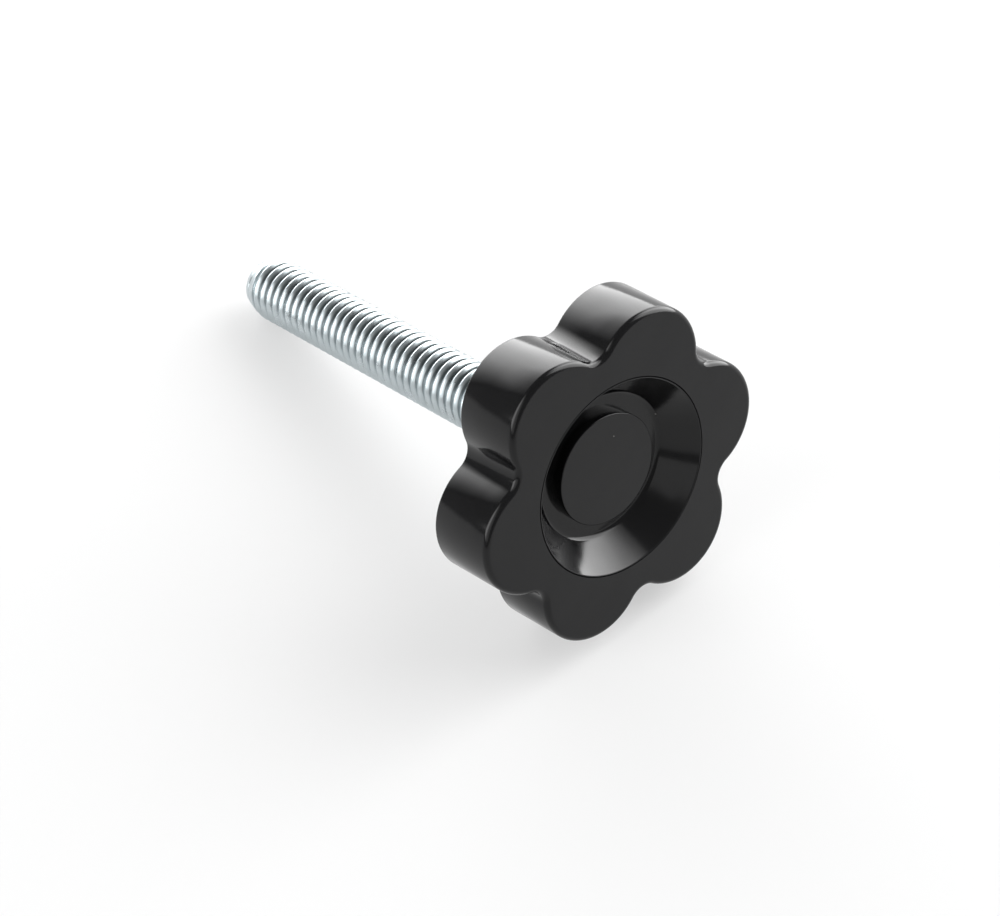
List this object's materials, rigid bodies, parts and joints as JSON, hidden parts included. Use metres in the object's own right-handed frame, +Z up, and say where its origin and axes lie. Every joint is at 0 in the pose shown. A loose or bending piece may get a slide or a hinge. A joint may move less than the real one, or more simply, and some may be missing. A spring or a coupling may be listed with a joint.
{
  "type": "lobed hand knob with threaded stud",
  "caption": "Flower-shaped moulded hand knob with rounded lobes, a dished front and a long threaded metal stud, for clamping or adjusting by hand.",
  "frame": {"origin": "on the floor, under the middle of the part as it lies at rest on two lobes and the stud's tip", "axes": "+Z up, +Y the way the stud runs from the knob, +X across the knob"},
  "size_m": [0.03, 0.0538, 0.028],
  "materials": {
    "black_plastic": "glossy black moulding",
    "zinc_plated_steel": "bright zinc plate"
  },
  "bodies": {
    "root": {"knob_head": "black_plastic", "threaded_stud": "zinc_plated_steel"}
  },
  "joints": []
}
